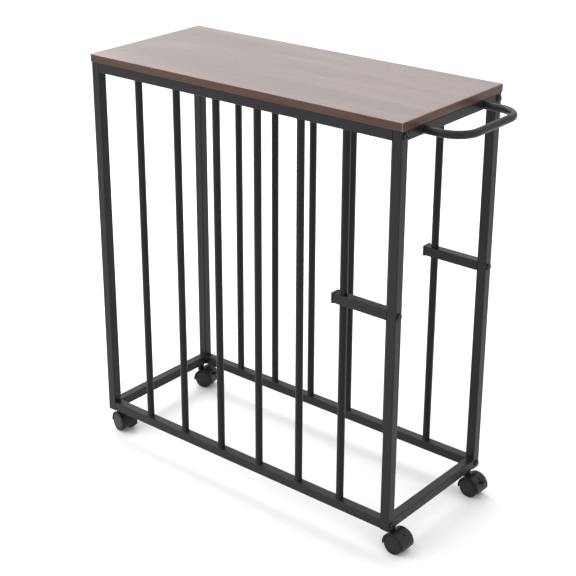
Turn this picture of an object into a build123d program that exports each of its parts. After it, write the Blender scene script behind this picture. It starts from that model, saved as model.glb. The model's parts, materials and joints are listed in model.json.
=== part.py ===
from build123d import *
import os
from math import cos, radians, sin

# Rolling storage rack: a square-tube steel frame with a grille of round bars on both long
# sides, a laminate top board, a push handle on one end and four twin-wheel casters.
# +X runs along the rack towards the handle, -Y is the front side, +Z is up.
# The origin is on the floor, in the middle of the rack's bounding box. All sizes in mm.

# Driving dimensions
FRAME_LENGTH = 762.0
FRAME_DEPTH = 320.0
FRAME_HEIGHT = 794.0
TUBE = 20.0
TUBE_WALL = 1.2
TUBE_CORNER = 2.0
BOARD_THICKNESS = 16.0
BOARD_OVERHANG = 1.0
BOARD_EDGE = 0.8
BAR_DIAMETER = 15.0
BAR_WALL = 1.2
BARS_PER_SIDE = 6
MID_RAIL_HEIGHT = 447.0
MID_RAIL_PAST_BAR = 22.0
MID_CAP_HEAD = 5.0
MID_CAP_SIZE = 21.6
HANDLE_REACH = 82.0
HANDLE_SPAN = 192.0
HANDLE_CORNER = 45.0
HANDLE_DIAMETER = 15.0
HANDLE_WALL = 1.5
BOLT_DIAMETER = 6.0
BOLT_LENGTH = 30.0
BOLT_HOLE = 6.6
BOLT_HEAD_DIAMETER = 13.0
BOLT_HEAD_HEIGHT = 3.2
BOLT_SOCKET = 4.0
BOLT_SOCKET_DEPTH = 2.0
NUT_PLATE_THICKNESS = 6.0
SCREW_DIAMETER = 4.0
SCREW_LENGTH = 32.0
SCREW_HOLE = 4.6
SCREW_HEAD_DIAMETER = 8.0
SCREW_HEAD_HEIGHT = 2.4
PLUG_DEPTH = 5.0
PLUG_FIT = 0.2
PLUG_HEAD = 1.5
PLUG_HEAD_SIZE = 19.0
CASTER_HEIGHT = 52.0
CASTER_INSET = 27.0
CASTER_TRAIL = 15.0
CASTER_TURN = 15.0
INSERT_DIAMETER = 11.0
INSERT_LENGTH = 13.0
INSERT_FLANGE = 14.0
INSERT_FLANGE_THICKNESS = 1.0
STEM_THREAD = 8.0
STEM_COLLAR_DIAMETER = 15.0
STEM_COLLAR_THICKNESS = 3.0
STEM_PIN = 7.0
STEM_PIN_LENGTH = 16.0
RUNNING_CLEARANCE = 0.05
END_GAP = 0.5
WHEEL_RADIUS = 20.0
WHEEL_INNER_FACE = 7.5
WHEEL_OUTER_FACE = 19.0
WHEEL_EDGE = 1.5
WHEEL_RIM = 3.5
WHEEL_FACE = 4.5
WHEEL_GROOVE = (16.0, 17.0)
WHEEL_GROOVE_DEPTH = 0.5
AXLE_DIAMETER = 5.0
AXLE_HALF_LENGTH = 15.5
HOOD_INNER_RADIUS = 21.8
HOOD_OUTER_RADIUS = 24.5
HOOD_HALF_WIDTH = 19.2
HOOD_EDGE = 1.5
HOOD_START = -12.0
HOOD_END = 190.0
HOOD_SLOT = (49.0, 62.0)
HOOD_SLOT_HALF_WIDTH = 1.6
HOOD_SLOT_DEPTH = 4.0
HOOD_HOLE_ANGLE = 16.0
HOOD_HOLE_RADIUS = 1.4
HOOD_HOLE_DEPTH = 6.0
WEB_HALF_THICKNESS = 3.0
WEB_OVERLAP = 1.0
BOSS_RADIUS = 7.0
BOSS_FLOOR = 2.0
LEVER_PIVOT_RADIUS = 16.5
LEVER_PIVOT_ANGLE = 45.0
LEVER_REST_ANGLE = 25.0
LEVER_TRAVEL = 18.0
LEVER_PIN = 3.0
LEVER_PIN_INSET = 1.0
LEVER_HUB_RADIUS = 3.2
LEVER_HALF_WIDTH = 4.0
LEVER_THICKNESS = 3.4
LEVER_ARM = 12.0
LEVER_PAD_END = 20.0
LEVER_PAD_HALF_WIDTH = 5.2
LEVER_LIP = 1.6
LEVER_TIP_RADIUS = 1.4
LEVER_PAD_OVERLAP = 1.0
LEVER_GAP = 0.6
LUG_INNER = 4.6
LUG_WALL = 1.0

# Places worked out from the driving dimensions
OVERALL_LENGTH = BOLT_HEAD_HEIGHT + FRAME_LENGTH + HANDLE_REACH + HANDLE_DIAMETER / 2
LEFT = BOLT_HEAD_HEIGHT - OVERALL_LENGTH / 2
RIGHT = LEFT + FRAME_LENGTH
SIDE = FRAME_DEPTH / 2
BASE = CASTER_HEIGHT
TOP = BASE + FRAME_HEIGHT
HALF = TUBE / 2
BAY = (FRAME_LENGTH - 2 * TUBE) / (BARS_PER_SIDE + 1)
BAR_X = [LEFT + TUBE + BAY * i for i in range(1, BARS_PER_SIDE + 1)]
MID_Z = BASE + MID_RAIL_HEIGHT
MID_LEFT = BAR_X[-1] - MID_RAIL_PAST_BAR
SIDES = {"front": -1, "rear": 1}
ENDS = {"left": -1, "right": 1}
LEVELS = {"bottom": BASE + HALF, "top": TOP - HALF}
END_X = {"left": LEFT + HALF, "right": RIGHT - HALF}
AXLE_Z = WHEEL_RADIUS - CASTER_HEIGHT
CASTERS = {
    "front_left": (END_X["left"], CASTER_INSET - SIDE, -CASTER_TURN),
    "front_right": (END_X["right"], CASTER_INSET - SIDE, 0),
    "rear_left": (END_X["left"], SIDE - CASTER_INSET, CASTER_TURN),
    "rear_right": (END_X["right"], SIDE - CASTER_INSET, 0),
}
LOCKING = ("rear_left", "rear_right")

parts = {}


def tube(length):
    """Square tube standing on Z = 0."""
    outer = RectangleRounded(TUBE, TUBE, TUBE_CORNER)
    inner = RectangleRounded(TUBE - 2 * TUBE_WALL, TUBE - 2 * TUBE_WALL, TUBE_CORNER - TUBE_WALL)
    return extrude(outer - inner, length)


def rod_x(x0, x1, y, z, diameter):
    """Solid round rod along X from x0 to x1."""
    return Pos((x0 + x1) / 2, y, z) * Rot(0, 90, 0) * Cylinder(diameter / 2, abs(x1 - x0))


def rod_y(y0, y1, x, z, radius):
    """Solid round rod along Y from y0 to y1."""
    return Pos(x, (y0 + y1) / 2, z) * Rot(90, 0, 0) * Cylinder(radius, abs(y1 - y0))


def rod_z(z0, z1, x, y, diameter):
    """Solid round rod along Z from z0 to z1."""
    return Pos(x, y, (z0 + z1) / 2) * Cylinder(diameter / 2, abs(z1 - z0))


def screw_places():
    """Middle of the first, middle and last bay on both top side rails."""
    bays = (0, BARS_PER_SIDE // 2, BARS_PER_SIDE)
    return [(LEFT + TUBE + BAY * (i + 0.5), s * (SIDE - HALF)) for s in (-1, 1) for i in bays]


def bolt_places():
    """(x of the post's outer face, direction out of the frame, y, z) of each frame bolt."""
    places = []
    for end, out in ENDS.items():
        face = LEFT if out < 0 else RIGHT
        levels = list(LEVELS.values()) + ([MID_Z] if end == "right" else [])
        places += [(face, out, s * (SIDE - HALF), z) for s in (-1, 1) for z in levels]
    return places


def make_board():
    size = (FRAME_LENGTH + 2 * BOARD_OVERHANG, FRAME_DEPTH + 2 * BOARD_OVERHANG)
    board = Pos((LEFT + RIGHT) / 2, 0, TOP + BOARD_THICKNESS / 2) * Box(*size, BOARD_THICKNESS)
    board = chamfer(board.edges().group_by(Axis.Z)[-1], BOARD_EDGE)
    for x, y in screw_places():
        board -= rod_z(TOP, TOP + SCREW_LENGTH - TUBE, x, y, SCREW_DIAMETER)
    parts["top_board"] = board


def make_posts():
    for end, out in ENDS.items():
        for side, s in SIDES.items():
            x, y = END_X[end], s * (SIDE - HALF)
            post = Pos(x, y, BASE) * tube(FRAME_HEIGHT)
            for face, direction, bolt_y, z in bolt_places():
                if direction == out and bolt_y == y:
                    post -= rod_x(face, face - out * TUBE, y, z, BOLT_HOLE)
            parts[f"post_{side}_{end}"] = post


def make_end_rails():
    length = FRAME_DEPTH - 2 * TUBE
    for end in ENDS:
        for level, z in LEVELS.items():
            rail = Pos(END_X[end], length / 2, z) * Rot(90, 0, 0) * tube(length)
            if level == "bottom":
                for s in (-1, 1):
                    y = s * (SIDE - CASTER_INSET)
                    rail -= rod_z(BASE, BASE + HALF, END_X[end], y, INSERT_DIAMETER)
            parts[f"end_rail_{level}_{end}"] = rail


def make_side_rails():
    length = FRAME_LENGTH - 2 * TUBE
    for side, s in SIDES.items():
        for level, z in LEVELS.items():
            rail = Pos(LEFT + TUBE, s * (SIDE - HALF), z) * Rot(0, 90, 0) * tube(length)
            if level == "top":
                for x, y in screw_places():
                    if y * s > 0:
                        rail -= rod_z(TOP - TUBE, TOP, x, y, SCREW_HOLE)
            parts[f"side_rail_{level}_{side}"] = rail


def make_bars():
    profile = Circle(BAR_DIAMETER / 2) - Circle(BAR_DIAMETER / 2 - BAR_WALL)
    for side, s in SIDES.items():
        for i, x in enumerate(BAR_X, 1):
            bar = Pos(x, s * (SIDE - HALF), BASE + TUBE) * extrude(profile, FRAME_HEIGHT - 2 * TUBE)
            parts[f"bar_{side}_{i}"] = bar


def make_mid_rails():
    """Short rails that carry small frames in the last bay. The last bar passes through them."""
    start = MID_LEFT + MID_CAP_HEAD
    bore = BAR_DIAMETER + 2 * RUNNING_CLEARANCE
    plug_size = TUBE - 2 * TUBE_WALL - PLUG_FIT
    caps = []
    for side, s in SIDES.items():
        y = s * (SIDE - HALF)
        rail = Pos(start, y, MID_Z) * Rot(0, 90, 0) * tube(RIGHT - TUBE - start)
        parts[f"mid_rail_{side}"] = rail - rod_z(MID_Z - HALF, MID_Z + HALF, BAR_X[-1], y, bore)
        head = Pos(MID_LEFT + MID_CAP_HEAD / 2, y, MID_Z) * Box(MID_CAP_HEAD, MID_CAP_SIZE, MID_CAP_SIZE)
        head = fillet(head.edges().filter_by(Axis.X), TUBE_CORNER)
        head = fillet(head.faces().sort_by(Axis.X)[0].edges(), TUBE_CORNER)
        neck = Pos(start + PLUG_DEPTH / 2, y, MID_Z) * Box(PLUG_DEPTH, plug_size, plug_size)
        caps.append(head + fillet(neck.edges().filter_by(Axis.X), TUBE_CORNER - TUBE_WALL))
    parts["mid_rail_caps"] = Compound(caps)


def make_handle():
    z, half_span, end = TOP - HALF, HANDLE_SPAN / 2, RIGHT + HANDLE_REACH
    corners = [(RIGHT, -half_span), (end, -half_span), (end, half_span), (RIGHT, half_span)]
    path = Pos(0, 0, z) * FilletPolyline(*corners, radius=HANDLE_CORNER)
    start = Plane(origin=(RIGHT, -half_span, z), z_dir=(1, 0, 0))
    outer = sweep(start * Circle(HANDLE_DIAMETER / 2), path=path)
    inner = sweep(start * Circle(HANDLE_DIAMETER / 2 - HANDLE_WALL), path=path)
    parts["push_handle"] = outer - inner


def bolt():
    """Button-head bolt with its head on +Z above Z = 0 and its shank below."""
    head = Pos(0, 0, BOLT_HEAD_HEIGHT / 2) * Cylinder(BOLT_HEAD_DIAMETER / 2, BOLT_HEAD_HEIGHT)
    head = fillet(head.edges().group_by(Axis.Z)[-1], BOLT_HEAD_HEIGHT / 2)
    socket = extrude(RegularPolygon(BOLT_SOCKET / 2, 6, major_radius=False), BOLT_SOCKET_DEPTH)
    head -= Pos(0, 0, BOLT_HEAD_HEIGHT - BOLT_SOCKET_DEPTH) * socket
    return head + rod_z(-BOLT_LENGTH, 0, 0, 0, BOLT_DIAMETER)


def make_frame_bolts():
    """Bolts through the posts into a threaded plate welded inside each rail end."""
    bolts, plates = [], []
    size = TUBE - 2 * TUBE_WALL
    for face, out, y, z in bolt_places():
        bolts.append(Pos(face, y, z) * Rot(0, 90 * out, 0) * bolt())
        x = face - out * (TUBE + NUT_PLATE_THICKNESS / 2)
        plate = Pos(x, y, z) * Box(NUT_PLATE_THICKNESS, size, size)
        plate = fillet(plate.edges().filter_by(Axis.X), TUBE_CORNER - TUBE_WALL)
        plates.append(plate - rod_x(x - size, x + size, y, z, BOLT_DIAMETER))
    parts["frame_bolts"] = Compound(bolts)
    parts["rail_nut_plates"] = Compound(plates)


def make_board_screws():
    screws = []
    for x, y in screw_places():
        under = TOP - TUBE
        head = rod_z(under - SCREW_HEAD_HEIGHT, under, x, y, SCREW_HEAD_DIAMETER)
        head = fillet(head.edges().group_by(Axis.Z)[0], SCREW_HEAD_HEIGHT / 2)
        screws.append(head + rod_z(under, under + SCREW_LENGTH, x, y, SCREW_DIAMETER))
    parts["board_screws"] = Compound(screws)


def make_post_plugs():
    size = TUBE - 2 * TUBE_WALL - PLUG_FIT
    plugs = []
    for x in END_X.values():
        for s in SIDES.values():
            y = s * (SIDE - HALF)
            body = Pos(x, y, BASE + PLUG_DEPTH / 2) * Box(size, size, PLUG_DEPTH)
            body = fillet(body.edges().filter_by(Axis.Z), TUBE_CORNER - TUBE_WALL)
            head = Pos(x, y, BASE - PLUG_HEAD / 2) * Box(PLUG_HEAD_SIZE, PLUG_HEAD_SIZE, PLUG_HEAD)
            head = fillet(head.edges().filter_by(Axis.Z), TUBE_CORNER)
            head = chamfer(head.edges().group_by(Axis.Z)[0], PLUG_HEAD / 3)
            plugs.append(body + head)
    parts["post_plugs"] = Compound(plugs)


def make_caster_inserts():
    inserts = []
    for x, y, _ in CASTERS.values():
        low, high = BASE - INSERT_FLANGE_THICKNESS, BASE + INSERT_LENGTH
        insert = rod_z(BASE, high, x, y, INSERT_DIAMETER) + rod_z(low, BASE, x, y, INSERT_FLANGE)
        inserts.append(insert - rod_z(low, high, x, y, STEM_THREAD))
    parts["caster_inserts"] = Compound(inserts)


# Caster pieces, in a frame with the swivel axis on Z and the rail's underside at Z = 0.
# +X is the trailing direction and the axle runs along Y.


def caster_stem():
    top = -INSERT_FLANGE_THICKNESS
    collar_base = top - STEM_COLLAR_THICKNESS
    stem = rod_z(top, INSERT_LENGTH, 0, 0, STEM_THREAD)
    stem += rod_z(collar_base, top, 0, 0, STEM_COLLAR_DIAMETER)
    return stem + rod_z(collar_base - STEM_PIN_LENGTH, collar_base, 0, 0, STEM_PIN)


def axle_frame(radius, angle):
    """(x, z) of a point at radius and angle about the axle, in the caster's frame."""
    a = radians(angle)
    return CASTER_TRAIL + radius * cos(a), AXLE_Z + radius * sin(a)


def sector(inner, outer, start, end, half_width):
    """Ring sector about the axle, half_width to each side of the caster's middle."""
    def point(radius, angle):
        return (radius * cos(radians(angle)), radius * sin(radians(angle)))

    middle = (start + end) / 2
    edge = ThreePointArc(point(outer, start), point(outer, middle), point(outer, end))
    if inner > 0:
        back = ThreePointArc(point(inner, end), point(inner, middle), point(inner, start))
        sides = [Line(edge @ 1, back @ 0), Line(back @ 1, edge @ 0)]
        outline = Curve() + [edge, back] + sides
    else:
        outline = Curve() + [edge, Line(edge @ 1, (0, 0)), Line((0, 0), edge @ 0)]
    face = make_face(Plane.XZ * outline)
    return Pos(CASTER_TRAIL, 0, AXLE_Z) * extrude(face, half_width, both=True)


def lever_frame(distance, angle, height=0.0):
    """Location at a distance out from the lever's pivot, turned to an angle above level."""
    x, z = axle_frame(LEVER_PIVOT_RADIUS, LEVER_PIVOT_ANGLE)
    return Pos(x, 0, z) * Rot(0, -angle, 0) * Pos(distance, 0, height)


def caster_housing(locking):
    hood = sector(HOOD_INNER_RADIUS, HOOD_OUTER_RADIUS, HOOD_START, HOOD_END, HOOD_HALF_WIDTH)
    rims = hood.edges().filter_by(GeomType.CIRCLE).sort_by(SortBy.RADIUS)[-2:]
    hood = fillet(rims, HOOD_EDGE)
    housing = hood + sector(0, HOOD_INNER_RADIUS + WEB_OVERLAP, HOOD_START, HOOD_END, WEB_HALF_THICKNESS)
    housing += rod_y(-BOSS_RADIUS, BOSS_RADIUS, CASTER_TRAIL, AXLE_Z, BOSS_RADIUS)
    collar_base = -INSERT_FLANGE_THICKNESS - STEM_COLLAR_THICKNESS
    boss_top = collar_base - END_GAP
    bore_end = collar_base - STEM_PIN_LENGTH - END_GAP
    housing += rod_z(bore_end - BOSS_FLOOR, boss_top, 0, 0, 2 * BOSS_RADIUS)
    if locking:
        housing = lever_room(housing)
    housing -= hood_openings()
    housing -= rod_z(bore_end, boss_top, 0, 0, STEM_PIN + 2 * RUNNING_CLEARANCE)
    return housing - rod_y(-BOSS_RADIUS, BOSS_RADIUS, CASTER_TRAIL, AXLE_Z, AXLE_DIAMETER / 2)


def hood_openings():
    """Short slot and a round hole in the back of every hood, as one shape to cut away."""
    outside = HOOD_OUTER_RADIUS + 1
    slot = sector(HOOD_OUTER_RADIUS - HOOD_SLOT_DEPTH, outside, *HOOD_SLOT, HOOD_SLOT_HALF_WIDTH)
    hole = Rot(0, 90 - HOOD_HOLE_ANGLE, 0) * Cylinder(HOOD_HOLE_RADIUS, HOOD_HOLE_DEPTH)
    x, z = axle_frame(outside - HOOD_HOLE_DEPTH / 2, HOOD_HOLE_ANGLE)
    return slot + Pos(x, 0, z) * hole


def lever_room(housing):
    """Cuts the lever's slot and pocket, and adds the two lugs that hold its pivot."""
    x, z = axle_frame(LEVER_PIVOT_RADIUS, LEVER_PIVOT_ANGLE)
    low, high = LEVER_REST_ANGLE - LEVER_TRAVEL, LEVER_REST_ANGLE
    room = rod_y(-LUG_INNER, LUG_INNER, x, z, LEVER_HUB_RADIUS + LEVER_GAP)
    for angle in (low, (low + high) / 2, high):
        reach = Box(LEVER_ARM, 2 * LUG_INNER, LEVER_THICKNESS + 2 * LEVER_GAP)
        room += lever_frame(LEVER_ARM / 2, angle) * reach
    lug_radius = LEVER_HUB_RADIUS + LUG_WALL
    lug_top = HOOD_INNER_RADIUS + WEB_OVERLAP
    root_x, root_z = axle_frame((LEVER_PIVOT_RADIUS + lug_top) / 2, LEVER_PIVOT_ANGLE)
    root = Box(lug_top - LEVER_PIVOT_RADIUS, BOSS_RADIUS - LUG_INNER, 2 * lug_radius)
    for s in (-1, 1):
        y0, y1 = s * LUG_INNER, s * BOSS_RADIUS
        housing += rod_y(y0, y1, x, z, lug_radius)
        housing += Pos(root_x, (y0 + y1) / 2, root_z) * Rot(0, -LEVER_PIVOT_ANGLE, 0) * root
    housing -= room
    return housing - rod_y(-BOSS_RADIUS, BOSS_RADIUS, x, z, LEVER_PIN / 2 + RUNNING_CLEARANCE)


def caster_axle():
    return rod_y(-AXLE_HALF_LENGTH, AXLE_HALF_LENGTH, CASTER_TRAIL, AXLE_Z, AXLE_DIAMETER / 2)


def caster_wheel(s):
    """Moulded wheel on side s of the caster, closed on its outer face, with a blind bore."""
    width = WHEEL_OUTER_FACE - WHEEL_INNER_FACE
    wheel = fillet(rod_z(0, width, 0, 0, 2 * WHEEL_RADIUS).edges(), WHEEL_EDGE)
    cup_depth = width - WHEEL_FACE
    cup = rod_z(0, cup_depth, 0, 0, 2 * (WHEEL_RADIUS - WHEEL_RIM))
    wheel -= cup - rod_z(0, cup_depth, 0, 0, 2 * BOSS_RADIUS)
    bore_depth = AXLE_HALF_LENGTH + END_GAP - WHEEL_INNER_FACE
    wheel -= rod_z(0, bore_depth, 0, 0, AXLE_DIAMETER + 2 * RUNNING_CLEARANCE)
    inner, outer = WHEEL_GROOVE
    groove_floor = width - WHEEL_GROOVE_DEPTH
    wheel -= rod_z(groove_floor, width, 0, 0, 2 * outer) - rod_z(groove_floor, width, 0, 0, 2 * inner)
    return Pos(CASTER_TRAIL, s * WHEEL_INNER_FACE, AXLE_Z) * Rot(-90 * s, 0, 0) * wheel


def brake_lever():
    x, z = axle_frame(LEVER_PIVOT_RADIUS, LEVER_PIVOT_ANGLE)
    lever = rod_y(-LEVER_HALF_WIDTH, LEVER_HALF_WIDTH, x, z, LEVER_HUB_RADIUS)
    pin_half = BOSS_RADIUS - LEVER_PIN_INSET
    lever += rod_y(-pin_half, pin_half, x, z, LEVER_PIN / 2)
    arm = Box(LEVER_ARM, 2 * LEVER_HALF_WIDTH, LEVER_THICKNESS)
    lever += lever_frame(LEVER_ARM / 2, LEVER_REST_ANGLE) * arm
    pad_length = LEVER_PAD_END - LEVER_ARM + LEVER_PAD_OVERLAP
    pad = Box(pad_length, 2 * LEVER_PAD_HALF_WIDTH, LEVER_THICKNESS)
    lip = Box(LEVER_LIP, 2 * LEVER_PAD_HALF_WIDTH, LEVER_THICKNESS + LEVER_LIP)
    pad += Pos((pad_length - LEVER_LIP) / 2, 0, LEVER_LIP / 2) * lip
    pad = fillet(pad.edges().filter_by(Axis.Z).group_by(Axis.X)[-1], LEVER_TIP_RADIUS)
    return lever + lever_frame(LEVER_PAD_END - pad_length / 2, LEVER_REST_ANGLE) * pad


def make_casters():
    for name, (x, y, turn) in CASTERS.items():
        place = Pos(x, y, BASE) * Rot(0, 0, turn)
        parts[f"caster_{name}_stem"] = place * caster_stem()
        parts[f"caster_{name}_housing"] = place * caster_housing(name in LOCKING)
        parts[f"caster_{name}_axle"] = place * caster_axle()
        parts[f"caster_{name}_wheel_a"] = place * caster_wheel(-1)
        parts[f"caster_{name}_wheel_b"] = place * caster_wheel(1)
        if name in LOCKING:
            parts[f"caster_{name}_brake"] = place * brake_lever()


make_board()
make_posts()
make_end_rails()
make_side_rails()
make_bars()
make_mid_rails()
make_handle()
make_frame_bolts()
make_board_screws()
make_post_plugs()
make_caster_inserts()
make_casters()

os.makedirs("parts", exist_ok=True)
for name, part in parts.items():
    export_step(part, f"parts/{name}.step")
print(len(parts), "nodes, overall length", round(OVERALL_LENGTH, 2), "left face at", round(LEFT, 2))
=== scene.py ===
"""Looks for the rolling storage rack: materials, weld beads, the laminated top board, light and camera."""
import json
from math import cos, pi, radians, sin

import bmesh
import bpy
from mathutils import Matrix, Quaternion, Vector


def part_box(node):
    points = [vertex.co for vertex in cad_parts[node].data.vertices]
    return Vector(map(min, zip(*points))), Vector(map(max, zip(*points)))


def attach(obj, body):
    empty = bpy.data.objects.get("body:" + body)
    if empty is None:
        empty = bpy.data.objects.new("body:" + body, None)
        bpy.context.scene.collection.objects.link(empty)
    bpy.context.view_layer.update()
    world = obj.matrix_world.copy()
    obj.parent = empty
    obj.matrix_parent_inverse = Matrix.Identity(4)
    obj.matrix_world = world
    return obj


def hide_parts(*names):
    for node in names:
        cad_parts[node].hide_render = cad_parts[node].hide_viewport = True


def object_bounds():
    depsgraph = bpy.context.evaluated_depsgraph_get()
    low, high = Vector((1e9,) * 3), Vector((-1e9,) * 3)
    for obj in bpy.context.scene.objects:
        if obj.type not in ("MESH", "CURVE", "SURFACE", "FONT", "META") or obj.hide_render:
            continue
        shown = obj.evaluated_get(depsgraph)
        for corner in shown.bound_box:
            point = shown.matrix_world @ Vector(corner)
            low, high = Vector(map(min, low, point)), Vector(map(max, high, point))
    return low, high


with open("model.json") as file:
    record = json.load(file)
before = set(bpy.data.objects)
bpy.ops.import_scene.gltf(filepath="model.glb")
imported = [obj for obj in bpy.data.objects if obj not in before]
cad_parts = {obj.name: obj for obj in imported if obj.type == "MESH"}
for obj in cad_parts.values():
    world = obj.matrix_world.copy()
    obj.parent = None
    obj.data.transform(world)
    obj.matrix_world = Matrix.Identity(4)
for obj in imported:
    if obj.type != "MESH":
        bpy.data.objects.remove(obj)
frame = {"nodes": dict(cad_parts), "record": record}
cad_low, cad_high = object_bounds()

MM = 0.001

# Camera, at the photograph's viewing angle
CAMERA_AZIMUTH = 41.78
CAMERA_ELEVATION = 22.02
CAMERA_ROLL = -0.80
CAMERA_AT = Vector((1.6003, -2.0153, 1.5413))
CAMERA_LENS = 86.13
CAMERA_SHIFT = (0.1025, -0.0712)
SENSOR_WIDTH = 36

# The studio's ceiling is this many times as bright as its white walls, and its floor is a wide disc
ZENITH_LIGHT = 1.35
FLOOR_RADIUS = 40
FLOOR_SIDES = 96

# Weld beads: their size, how deep they sink into both parts, where straight ones stop short of a
# rail's corner, and their ripples
BEAD = 1.6 * MM
BEAD_SINK = 0.3 * MM
BEAD_STOP = 2 * MM
RING_STEPS = 48
RING_RIPPLES = 14
LINE_STEPS = 24
LINE_RIPPLE_TURN = 1.9
BARS_PER_SIDE = 6

# Top board: the edge bands' thickness, the bevel along their outer edges, the core panel's bevel,
# and how far from a corner line an edge may be and still count as lying on it
BAND = 2.0 * MM
ARRIS = 0.8 * MM
SEAM = 0.25 * MM
TOUCHING = 0.001 * MM

# A band's polygon belongs to its bevel when no part of its normal reaches SQUARE_ON. Bevel polygons
# that face up or sideways get a painted highlight, a lighter copy of the laminate. Bevel polygons
# under the board, whose normals point down past DOWNWARD, keep the band's own finish and get no painted
# highlight
SQUARE_ON = 0.99
DOWNWARD = -0.1

# ---------------------------------------------------------------- materials


class Graph:
    """A node material around one Principled shader, with short calls to add and join nodes."""

    def __init__(self, name, **sockets):
        self.material = bpy.data.materials.new(name)
        self.material.use_nodes = True
        self.tree = self.material.node_tree
        self.shader = self.tree.nodes["Principled BSDF"]
        self.place = self.add("ShaderNodeTexCoord").outputs["Object"]
        for socket, value in sockets.items():
            self.shader.inputs[socket.replace("_", " ")].default_value = value

    def add(self, kind, **settings):
        node = self.tree.nodes.new(kind)
        for key, value in settings.items():
            setattr(node, key, value)
        return node

    def join(self, source, target):
        self.tree.links.new(source, target)

    def stretched(self, scale, turn=(0, 0, 0)):
        """Object coordinates with each axis scaled, to draw a pattern out along one of them."""
        node = self.add("ShaderNodeMapping")
        node.inputs["Scale"].default_value = scale
        node.inputs["Rotation"].default_value = turn
        self.join(self.place, node.inputs["Vector"])
        return node.outputs["Vector"]

    def noise(self, scale, detail=3.0, rough=0.5, distortion=0.0, place=None):
        node = self.add("ShaderNodeTexNoise")
        node.inputs["Scale"].default_value = scale
        node.inputs["Detail"].default_value = detail
        node.inputs["Roughness"].default_value = rough
        node.inputs["Distortion"].default_value = distortion
        self.join(place or self.place, node.inputs["Vector"])
        return node.outputs["Fac"]

    def ramp(self, value, *stops):
        """Colour ramp with (position, grey or colour) stops."""
        node = self.add("ShaderNodeValToRGB")
        band = node.color_ramp.elements
        while len(band) < len(stops):
            band.new(0.5)
        for element, (position, colour) in zip(band, stops):
            element.position = position
            element.color = (*colour, 1) if isinstance(colour, tuple) else (colour, colour, colour, 1)
        self.join(value, node.inputs["Fac"])
        return node.outputs["Color"]

    def mix(self, amount, a, b, blend="MIX"):
        """Mixes colours a and b; amount is a number or an output."""
        node = self.add("ShaderNodeMix", data_type="RGBA", blend_type=blend)
        for socket, value in ((node.inputs["Factor"], amount), (node.inputs[6], a), (node.inputs[7], b)):
            if isinstance(value, bpy.types.NodeSocket):
                self.join(value, socket)
            else:
                socket.default_value = value if isinstance(value, float) else (*value, 1)
        return node.outputs[2]

    def bump(self, height, distance, strength=1.0, under=None):
        node = self.add("ShaderNodeBump")
        node.inputs["Distance"].default_value = distance
        node.inputs["Strength"].default_value = strength
        self.join(height, node.inputs["Height"])
        if under:
            self.join(under, node.inputs["Normal"])
        return node.outputs["Normal"]

    def finish(self, colour, roughness, normal):
        self.join(colour, self.shader.inputs["Base Color"])
        self.join(roughness, self.shader.inputs["Roughness"])
        self.join(normal, self.shader.inputs["Normal"])
        return self.material


def powder_coat(name, dark, light, sheen):
    """Charcoal powder coat: satin, with the fine orange peel and grain of sprayed powder."""
    g = Graph(name, Specular_IOR_Level=sheen)
    tone = g.ramp(g.noise(7, 2), (0.35, dark), (0.7, light))
    speck = g.ramp(g.noise(1900, 2, 0.7), (0.60, 0.0), (0.72, 1.0))
    colour = g.mix(speck, tone, (0.034, 0.035, 0.037))
    roughness = g.ramp(g.noise(420, 3), (0.3, 0.32), (0.7, 0.46))
    peel = g.bump(g.noise(330, 2), 0.10 * MM, 0.35)
    grain = g.bump(g.noise(1500, 3, 0.6), 0.05 * MM, 0.45, peel)
    return g.finish(colour, roughness, grain)


def laminate(name, along, tones, shine, coat):
    """Walnut-effect laminate with its grain along one axis: broad figure, fine streaks and pores."""
    g = Graph(name, Specular_IOR_Level=shine, Coat_Weight=coat, Coat_Roughness=0.22)
    squeeze = [9.0, 9.0, 9.0]
    squeeze[along] = 0.75
    figure = g.noise(1.6, 3, 0.55, 0.9, g.stretched(squeeze))
    squeeze[along] = 0.5
    streak = g.noise(17, 4, 0.6, 0.25, g.stretched(squeeze))
    squeeze[along] = 0.12
    fine = g.noise(95, 3, 0.65, 0.0, g.stretched(squeeze))
    squeeze[along] = 0.35
    pores = g.ramp(g.noise(150, 1, 0.4, 0.0, g.stretched(squeeze)), (0.60, 0.0), (0.70, 1.0))
    broad = g.ramp(figure, *zip((0.30, 0.46, 0.58, 0.74), tones))
    streaked = g.mix(0.34, broad, g.ramp(streak, (0.3, 0.22), (0.7, 0.78)), "OVERLAY")
    lined = g.mix(0.24, streaked, g.ramp(fine, (0.35, 0.25), (0.65, 0.75)), "OVERLAY")
    colour = g.mix(pores, lined, (0.045, 0.026, 0.018))
    roughness = g.ramp(fine, (0.3, 0.30), (0.7, 0.42))
    relief = g.bump(fine, 0.05 * MM, 0.4)
    relief = g.bump(pores, -0.05 * MM, 0.5, relief)
    return g.finish(colour, roughness, relief)


def moulded_plastic(name, dark, light, gloss, grain):
    """Black moulded plastic: a fine spark-eroded grain and slight flow marks."""
    g = Graph(name, Specular_IOR_Level=0.28)
    colour = g.ramp(g.noise(60, 3, 0.6, 1.2), (0.3, dark), (0.75, light))
    roughness = g.ramp(g.noise(240, 3), (0.3, gloss), (0.7, gloss + 0.12))
    flow = g.bump(g.noise(45, 2, 0.5, 0.8), 0.12 * MM, 0.15)
    spark = g.bump(g.noise(grain, 2, 0.6), 0.04 * MM, 0.5, flow)
    return g.finish(colour, roughness, spark)


def steel(name, dark, light, gloss):
    """Plated or blackened steel with drawn streaks and faint stains."""
    g = Graph(name, Metallic=1.0)
    streak = g.noise(800, 2, 0.6, 0.0, g.stretched((0.06, 1.0, 1.0)))
    stain = g.noise(90, 4, 0.65, 0.6)
    colour = g.mix(g.ramp(stain, (0.4, 0.0), (0.7, 0.6)), g.ramp(streak, (0.3, dark), (0.7, light)), dark)
    roughness = g.ramp(stain, (0.3, gloss), (0.7, gloss + 0.15))
    return g.finish(colour, roughness, g.bump(streak, 0.02 * MM, 0.5))
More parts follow.
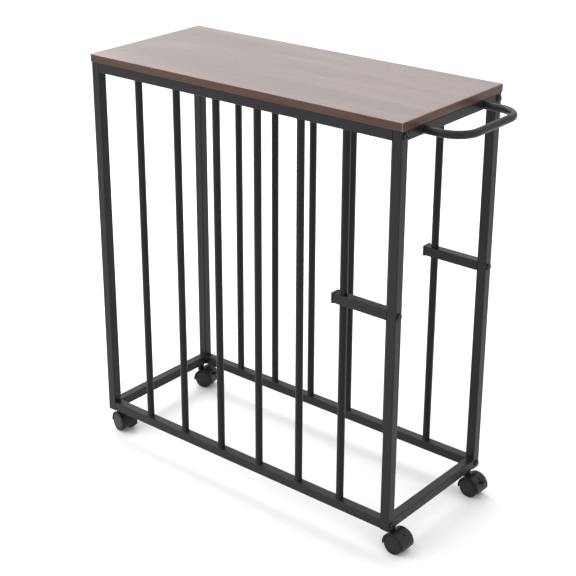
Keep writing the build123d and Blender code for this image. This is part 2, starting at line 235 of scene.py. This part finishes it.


# Darkest to lightest tone of the laminate on the top and the edge bands, and of the painted highlight,
# a lighter copy of the laminate, on the edge bands' bevels that face up or sideways
TOP_TONES = ((0.072, 0.036, 0.026), (0.097, 0.051, 0.038), (0.116, 0.064, 0.050), (0.146, 0.088, 0.070))
BAND_TONES = ((0.042, 0.018, 0.009), (0.060, 0.027, 0.014), (0.073, 0.034, 0.018), (0.096, 0.047, 0.027))
ARRIS_HIGHLIGHT_TONES = ((0.17, 0.11, 0.08), (0.21, 0.14, 0.11), (0.24, 0.165, 0.13), (0.29, 0.21, 0.17))

MATERIALS = {
    "powder_coat": powder_coat("powder_coat", (0.0068, 0.0070, 0.0082), (0.0096, 0.0098, 0.0112), 0.25),
    "walnut_laminate": laminate("walnut_top", 0, TOP_TONES, 0.5, 0.75),
    "black_plastic": moulded_plastic(
        "hood_plastic", (0.0060, 0.0060, 0.0065), (0.0100, 0.0100, 0.0106), 0.34, 1300
    ),
    "wheel_plastic": moulded_plastic(
        "wheel_nylon", (0.0070, 0.0070, 0.0075), (0.0115, 0.0115, 0.0120), 0.40, 900
    ),
    "black_steel": steel("black_steel", (0.028, 0.028, 0.031), (0.048, 0.048, 0.052), 0.30),
    "zinc_steel": steel("zinc_steel", (0.42, 0.43, 0.45), (0.62, 0.63, 0.65), 0.24),
}

# The bars get a darker copy of the frame's powder coat: painted shade that darkens them against the rest of
# the frame
SHADED_BAR_COAT = powder_coat("bar_coat_painted_shade", (0.0048, 0.0049, 0.0055), (0.0070, 0.0072, 0.0079), 0.20)

# Every part takes its slot's material, except the bars, which take the darker painted-shade copy of the
# powder coat
for part in frame["record"]["subparts"]:
    mesh = frame["nodes"][part["node"]].data
    mesh.materials.clear()
    mesh.materials.append(SHADED_BAR_COAT if part["node"].startswith("bar_") else MATERIALS[part["material_slot"]])

# ---------------------------------------------------------------- pieces


def piece(name, bm, material, body="frame"):
    """Turns a bmesh into a piece of the object that rides on a body."""
    mesh = bpy.data.meshes.new(name)
    bmesh.ops.recalc_face_normals(bm, faces=bm.faces)
    bm.to_mesh(mesh)
    bm.free()
    mesh.materials.append(material)
    made = bpy.data.objects.new(name, mesh)
    bpy.context.scene.collection.objects.link(made)
    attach(made, body)
    return made


def sweep_loops(bm, loops, closed):
    """Skins a list of equal point loops into a tube, closed on itself or capped at both ends."""
    rows = [[bm.verts.new(p) for p in loop] for loop in loops]
    count = len(rows[0])
    steps = len(rows) if closed else len(rows) - 1
    for i in range(steps):
        a, b = rows[i], rows[(i + 1) % len(rows)]
        for j in range(count):
            bm.faces.new((a[j], a[(j + 1) % count], b[(j + 1) % count], b[j]))
    if not closed:
        bm.faces.new(rows[0])
        bm.faces.new(rows[-1])


def bead_section(size):
    """Fillet bead in a corner at (0, 0): (out along the plate, up the bar), sunk into both."""
    s, k = size, BEAD_SINK
    return [(-k, -k), (s, -k), (s * 0.78, s * 0.30), (s * 0.50, s * 0.50), (s * 0.30, s * 0.78), (-k, s)]


def ring_bead(bm, centre, radius, normal, phase):
    """Weld bead round a bar of a radius that stands on a plate with an outward normal."""
    turn = Vector((0, 0, 1)).rotation_difference(normal)
    loops = []
    for i in range(RING_STEPS):
        a = 2 * pi * i / RING_STEPS
        size = BEAD * (1 + 0.10 * sin(RING_RIPPLES * a + phase) + 0.05 * sin(3 * a + 2 * phase))
        out = Vector((cos(a), sin(a), 0))
        section = [out * (radius + r) + Vector((0, 0, z)) for r, z in bead_section(size)]
        loops.append([centre + turn @ p for p in section])
    sweep_loops(bm, loops, True)


def line_bead(bm, start, end, along_a, along_b):
    """Straight weld bead in the corner between two faces that meet at a right angle."""
    loops = []
    for i in range(LINE_STEPS + 1):
        t = i / LINE_STEPS
        end_taper = min(1.0, 0.45 + 5 * min(t, 1 - t))
        size = BEAD * end_taper * (1 + 0.12 * sin(t * LINE_STEPS * LINE_RIPPLE_TURN))
        loops.append([start.lerp(end, t) + along_a * r + along_b * z for r, z in bead_section(size)])
    sweep_loops(bm, loops, False)


def weld_bars():
    for side in ("front", "rear"):
        bm = bmesh.new()
        for i in range(1, BARS_PER_SIDE + 1):
            low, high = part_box(f"bar_{side}_{i}")
            x, y, radius = (low.x + high.x) / 2, (low.y + high.y) / 2, (high.x - low.x) / 2
            ring_bead(bm, Vector((x, y, low.z)), radius, Vector((0, 0, 1)), i)
            ring_bead(bm, Vector((x, y, high.z)), radius, Vector((0, 0, -1)), i + 0.5)
        smooth(piece(f"bar_welds_{side}", bm, MATERIALS["powder_coat"]))


def weld_handle():
    low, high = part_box("push_handle")
    radius = (high.z - low.z) / 2
    bm = bmesh.new()
    for y in (low.y + radius, high.y - radius):
        ring_bead(bm, Vector((low.x, y, (low.z + high.z) / 2)), radius, Vector((1, 0, 0)), y)
    smooth(piece("handle_welds", bm, MATERIALS["powder_coat"]))


def weld_end_rails():
    """Beads on the inward faces of the joints between end rails and posts."""
    bm = bmesh.new()
    for end, inward in (("left", 1), ("right", -1)):
        for level, up in (("bottom", 1), ("top", -1)):
            low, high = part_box(f"end_rail_{level}_{end}")
            z = high.z if up > 0 else low.z
            x = high.x if inward > 0 else low.x
            for y, into in ((low.y, 1), (high.y, -1)):
                along_rail = Vector((0, into, 0))
                a, b = Vector((low.x + BEAD_STOP, y, z)), Vector((high.x - BEAD_STOP, y, z))
                line_bead(bm, a, b, along_rail, Vector((0, 0, up)))
                a, b = Vector((x, y, low.z + BEAD_STOP)), Vector((x, y, high.z - BEAD_STOP))
                line_bead(bm, a, b, along_rail, Vector((inward, 0, 0)))
    smooth(piece("end_rail_welds", bm, MATERIALS["powder_coat"]))


def smooth(obj):
    for polygon in obj.data.polygons:
        polygon.use_smooth = True


def cuboid(low, high):
    bm = bmesh.new()
    bmesh.ops.create_cube(bm, size=1)
    bmesh.ops.scale(bm, vec=high - low, verts=bm.verts)
    bmesh.ops.translate(bm, vec=(low + high) / 2, verts=bm.verts)
    return bm


def bevelled(bm, edges, rounding):
    bmesh.ops.bevel(bm, geom=edges, offset=rounding, segments=3, profile=0.5, affect="EDGES")
    return bm


def outer_edges(bm, low, high):
    """The edges that lie on an outer corner line of the box from low to high."""

    def on_side(edge, axis):
        return any(all(abs(v.co[axis] - limit[axis]) < TOUCHING for v in edge.verts) for limit in (low, high))

    return [edge for edge in bm.edges if sum(on_side(edge, axis) for axis in range(3)) >= 2]


def make_board():
    """Core board with its laminate, and the four edge bands glued round it, bevelled round the outside, with
    a painted highlight on the bevels that face up or sideways.
    """
    low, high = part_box("top_board")
    inner_low = low + Vector((BAND, BAND, 0))
    inner_high = high - Vector((BAND, BAND, 0))
    panel = cuboid(inner_low, inner_high)
    bevelled(panel, panel.edges[:], SEAM)
    board = piece("board_panel", panel, MATERIALS["walnut_laminate"])
    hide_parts("top_board")
    bands = {
        "front": (low, Vector((high.x, inner_low.y, high.z))),
        "rear": (Vector((low.x, inner_high.y, low.z)), high),
        "left": (Vector((low.x, inner_low.y, low.z)), Vector((inner_low.x, inner_high.y, high.z))),
        "right": (Vector((inner_high.x, inner_low.y, low.z)), Vector((high.x, inner_high.y, high.z))),
    }
    for along, sides in enumerate((("front", "rear"), ("left", "right"))):
        face = laminate(f"walnut_band_{along}", along, BAND_TONES, 0.3, 0.0)
        # The bevels get a lighter copy of the laminate: a painted highlight where light catches them
        painted_highlight = laminate(f"walnut_arris_painted_highlight_{along}", along, ARRIS_HIGHLIGHT_TONES, 0.5, 0.3)
        for side in sides:
            bm = cuboid(*bands[side])
            bevelled(bm, outer_edges(bm, low, high), ARRIS)
            band = piece(f"edge_band_{side}", bm, face)
            band.data.materials.append(painted_highlight)
            # Bevel polygons facing up or sideways take the painted highlight; downward ones keep the band's
            # colour
            for polygon in band.data.polygons:
                slanted = max(abs(c) for c in polygon.normal) < SQUARE_ON
                polygon.material_index = int(slanted and polygon.normal.z > DOWNWARD)


weld_bars()
weld_handle()
weld_end_rails()
make_board()

# ---------------------------------------------------------------- studio


def make_floor():
    g = Graph("pale_floor", Specular_IOR_Level=0.2)
    tone = g.ramp(g.noise(0.8, 2), (0.3, (0.83, 0.83, 0.835)), (0.7, (0.85, 0.85, 0.85)))
    rough = g.ramp(g.noise(30, 3), (0.3, 0.75), (0.7, 0.85))
    material = g.finish(tone, rough, g.bump(g.noise(180, 2), 0.1 * MM, 0.1))
    bm = bmesh.new()
    bmesh.ops.create_circle(bm, cap_ends=True, radius=FLOOR_RADIUS, segments=FLOOR_SIDES)
    mesh = bpy.data.meshes.new("floor")
    bm.to_mesh(mesh)
    bm.free()
    mesh.materials.append(material)
    floor = bpy.data.objects.new("floor", mesh)
    floor.location.z = cad_low.z
    bpy.context.scene.collection.objects.link(floor)


def area_light(name, at, aim, size, power):
    data = bpy.data.lights.new(name, "AREA")
    data.shape = "RECTANGLE"
    data.size, data.size_y = size
    data.energy = power
    light = bpy.data.objects.new(name, data)
    light.location = at
    light.rotation_euler = (Vector(aim) - Vector(at)).to_track_quat("-Z", "Y").to_euler()
    bpy.context.scene.collection.objects.link(light)


def make_light():
    world = bpy.data.worlds.new("studio")
    world.use_nodes = True
    nodes, links = world.node_tree.nodes, world.node_tree.links
    split = nodes.new("ShaderNodeSeparateXYZ")
    ramp = nodes.new("ShaderNodeValToRGB")
    horizon, zenith = ramp.color_ramp.elements
    horizon.color = (*[1 / ZENITH_LIGHT] * 3, 1)
    horizon.position = 0.2
    zenith.color = (1, 1, 1, 1)
    links.new(nodes.new("ShaderNodeTexCoord").outputs["Generated"], split.inputs[0])
    links.new(split.outputs["Z"], ramp.inputs["Fac"])
    links.new(ramp.outputs["Color"], nodes["Background"].inputs["Color"])
    nodes["Background"].inputs["Strength"].default_value = ZENITH_LIGHT
    bpy.context.scene.world = world
    centre = (cad_low + cad_high) / 2
    area_light("key", centre + Vector((-2.2, -2.6, 2.2)), centre, (2.4, 2.4), 45)
    area_light("side", centre + Vector((3.0, -0.4, 0.8)), centre, (1.6, 2.2), 4)
    area_light("top", centre + Vector((-2.2, 0.5, 1.8)), centre, (1.8, 1.8), 30)
    area_light("back", centre + Vector((-1.5, 1.7, 2.7)), centre, (2.4, 0.6), 32)


def make_camera():
    data = bpy.data.cameras.new("camera")
    data.lens = CAMERA_LENS
    data.sensor_width = SENSOR_WIDTH
    data.shift_x, data.shift_y = CAMERA_SHIFT
    camera = bpy.data.objects.new("camera", data)
    a, e = radians(CAMERA_AZIMUTH), radians(CAMERA_ELEVATION)
    look = Vector((-sin(a) * cos(e), cos(a) * cos(e), -sin(e)))
    camera.rotation_mode = "QUATERNION"
    camera.rotation_quaternion = look.to_track_quat("-Z", "Y") @ Quaternion((0, 0, 1), radians(CAMERA_ROLL))
    camera.location = CAMERA_AT
    bpy.context.scene.collection.objects.link(camera)
    bpy.context.scene.camera = camera


make_floor()
make_light()
make_camera()
bpy.context.scene.view_settings.view_transform = "Standard"
